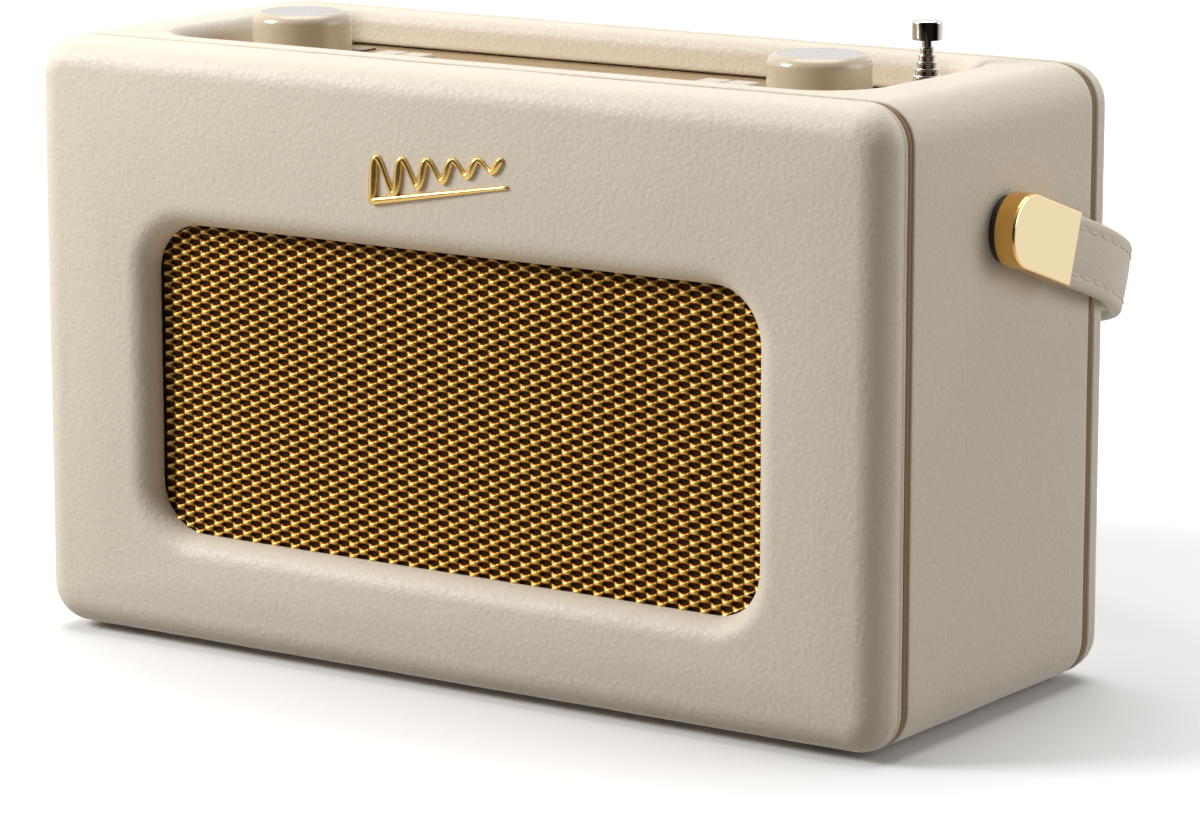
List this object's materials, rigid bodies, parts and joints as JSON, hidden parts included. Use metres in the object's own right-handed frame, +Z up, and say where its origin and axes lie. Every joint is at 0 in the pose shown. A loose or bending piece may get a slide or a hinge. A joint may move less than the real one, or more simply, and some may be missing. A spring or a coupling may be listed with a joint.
{
  "type": "portable radio",
  "caption": "Portable radio in a padded cream leathercloth cabinet with brass mesh grille, top control well, telescopic aerial and swinging strap handle.",
  "frame": {"origin": "centre of the cabinet's underside; the feet reach 1.5 mm below it", "axes": "+X the radio's right as one faces it, +Y towards the back, +Z up"},
  "size_m": [0.267, 0.1838, 0.1637],
  "materials": {
    "leathercloth": "pebbled cream leathercloth over foam, satin",
    "strap_leather": "smooth cream leather, two rows of stitching",
    "cabinet_board": "stained fibreboard",
    "grille_brass": "pressed mesh, satin gold",
    "grille_cloth": "dark brown acoustic cloth",
    "trim_brass": "polished",
    "panel_brass": "satin",
    "control_plastic": "gloss cream",
    "disc_metal": "spun",
    "dark_window": "clear over black",
    "moulded_black": "moulded",
    "rear_plastic": "fine texture",
    "circuit_board": "solder mask",
    "aerial_chrome": "polished",
    "steel": "zinc plated",
    "magnet": "ferrite",
    "cone_paper": "pressed paper",
    "battery_wrap": "shrink wrap",
    "foot_rubber": "matt"
  },
  "bodies": {
    "cabinet": {"front_frame": "leathercloth", "rear_frame": "leathercloth", "side_board_left": "cabinet_board", "side_board_right": "cabinet_board", "top_board": "cabinet_board", "bottom_board": "cabinet_board", "sleeve_cover": "leathercloth", "front_baffle": "cabinet_board", "speaker_grille": "grille_brass", "grille_cloth": "grille_cloth", "speaker_baskets": "steel", "speaker_magnets": "magnet", "speaker_cones": "cone_paper", "rear_panel": "rear_plastic", "battery_bay": "moulded_black", "battery_pack": "battery_wrap", "socket_board": "circuit_board", "rear_sockets": "moulded_black", "control_panel": "panel_brass", "control_tray": "moulded_black", "display_window": "dark_window", "display_module": "moulded_black", "status_window": "dark_window", "main_board": "circuit_board", "button_switches": "moulded_black", "encoder_housings": "moulded_black", "aerial_tube": "aerial_chrome", "aerial_clamp": "moulded_black", "handle_bushes": "moulded_black", "badge": "trim_brass", "feet": "foot_rubber", "rear_screws": "steel"},
    "encoder_rotor_left": {"encoder_rotor_left": "moulded_black"},
    "knob_left": {"knob_shaft_left": "steel", "knob_left": "control_plastic", "knob_disc_left": "disc_metal"},
    "encoder_rotor_right": {"encoder_rotor_right": "moulded_black"},
    "knob_right": {"knob_shaft_right": "steel", "knob_right": "control_plastic", "knob_disc_right": "disc_metal"},
    "button_left_1": {"button_left_1": "control_plastic"},
    "button_left_2": {"button_left_2": "control_plastic"},
    "button_left_3": {"button_left_3": "control_plastic"},
    "button_left_4": {"button_left_4": "control_plastic"},
    "button_right_1": {"button_right_1": "control_plastic"},
    "button_right_2": {"button_right_2": "control_plastic"},
    "button_right_3": {"button_right_3": "control_plastic"},
    "button_right_4": {"button_right_4": "control_plastic"},
    "aerial_section_1": {"aerial_section_1": "aerial_chrome"},
    "aerial_section_2": {"aerial_section_2": "aerial_chrome"},
    "aerial_section_3": {"aerial_section_3": "aerial_chrome"},
    "aerial_section_4": {"aerial_section_4": "aerial_chrome"},
    "aerial_section_5": {"aerial_section_5": "aerial_chrome"},
    "aerial_rod": {"aerial_rod": "aerial_chrome", "aerial_tip": "aerial_chrome"},
    "handle": {"handle_strap": "strap_leather", "handle_fitting_left": "trim_brass", "handle_fitting_right": "trim_brass", "handle_pins": "steel"},
    "battery_door": {"battery_door": "rear_plastic"}
  },
  "joints": [
    {"name": "knob_left_turn", "type": "hinge", "parent": "cabinet", "child": "encoder_rotor_left", "pos_m": [-0.0775, -0.0047, 0.15], "axis": [0, 0, 1], "continuous": true},
    {"name": "knob_left_push", "type": "slide", "parent": "encoder_rotor_left", "child": "knob_left", "axis": [0, 0, -1], "range_m": [0, 0.0005], "stiffness_N_per_m": 1500, "springref_m": -0.0002},
    {"name": "knob_right_turn", "type": "hinge", "parent": "cabinet", "child": "encoder_rotor_right", "pos_m": [0.0775, -0.0047, 0.15], "axis": [0, 0, 1], "continuous": true},
    {"name": "knob_right_push", "type": "slide", "parent": "encoder_rotor_right", "child": "knob_right", "axis": [0, 0, -1], "range_m": [0, 0.0005], "stiffness_N_per_m": 1500, "springref_m": -0.0002},
    {"name": "button_left_1_push", "type": "slide", "parent": "cabinet", "child": "button_left_1", "axis": [0, 0, -1], "range_m": [0, 0.0005], "stiffness_N_per_m": 1000, "springref_m": -0.0002},
    {"name": "button_left_2_push", "type": "slide", "parent": "cabinet", "child": "button_left_2", "axis": [0, 0, -1], "range_m": [0, 0.0005], "stiffness_N_per_m": 1000, "springref_m": -0.0002},
    {"name": "button_left_3_push", "type": "slide", "parent": "cabinet", "child": "button_left_3", "axis": [0, 0, -1], "range_m": [0, 0.0005], "stiffness_N_per_m": 1000, "springref_m": -0.0002},
    {"name": "button_left_4_push", "type": "slide", "parent": "cabinet", "child": "button_left_4", "axis": [0, 0, -1], "range_m": [0, 0.0005], "stiffness_N_per_m": 1000, "springref_m": -0.0002},
    {"name": "button_right_1_push", "type": "slide", "parent": "cabinet", "child": "button_right_1", "axis": [0, 0, -1], "range_m": [0, 0.0005], "stiffness_N_per_m": 1000, "springref_m": -0.0002},
    {"name": "button_right_2_push", "type": "slide", "parent": "cabinet", "child": "button_right_2", "axis": [0, 0, -1], "range_m": [0, 0.0005], "stiffness_N_per_m": 1000, "springref_m": -0.0002},
    {"name": "button_right_3_push", "type": "slide", "parent": "cabinet", "child": "button_right_3", "axis": [0, 0, -1], "range_m": [0, 0.0005], "stiffness_N_per_m": 1000, "springref_m": -0.0002},
    {"name": "button_right_4_push", "type": "slide", "parent": "cabinet", "child": "button_right_4", "axis": [0, 0, -1], "range_m": [0, 0.0005], "stiffness_N_per_m": 1000, "springref_m": -0.0002},
    {"name": "aerial_section_1_slide", "type": "slide", "parent": "cabinet", "child": "aerial_section_1", "axis": [0, 0, 1], "range_m": [0, 0.1]},
    {"name": "aerial_section_2_slide", "type": "slide", "parent": "aerial_section_1", "child": "aerial_section_2", "axis": [0, 0, 1], "range_m": [0, 0.1]},
    {"name": "aerial_section_3_slide", "type": "slide", "parent": "aerial_section_2", "child": "aerial_section_3", "axis": [0, 0, 1], "range_m": [0, 0.1]},
    {"name": "aerial_section_4_slide", "type": "slide", "parent": "aerial_section_3", "child": "aerial_section_4", "axis": [0, 0, 1], "range_m": [0, 0.1]},
    {"name": "aerial_section_5_slide", "type": "slide", "parent": "aerial_section_4", "child": "aerial_section_5", "axis": [0, 0, 1], "range_m": [0, 0.1]},
    {"name": "aerial_rod_slide", "type": "slide", "parent": "aerial_section_5", "child": "aerial_rod", "axis": [0, 0, 1], "range_m": [0, 0.1]},
    {"name": "handle_swing", "type": "hinge", "parent": "cabinet", "child": "handle", "pos_m": [0, 0, 0.1178], "axis": [1, 0, 0], "range_deg": [0, 216]},
    {"name": "battery_door_hinge", "type": "hinge", "parent": "cabinet", "child": "battery_door", "pos_m": [0, 0.0485, 0.0229], "axis": [-1, 0, 0], "range_deg": [0, 100]}
  ]
}
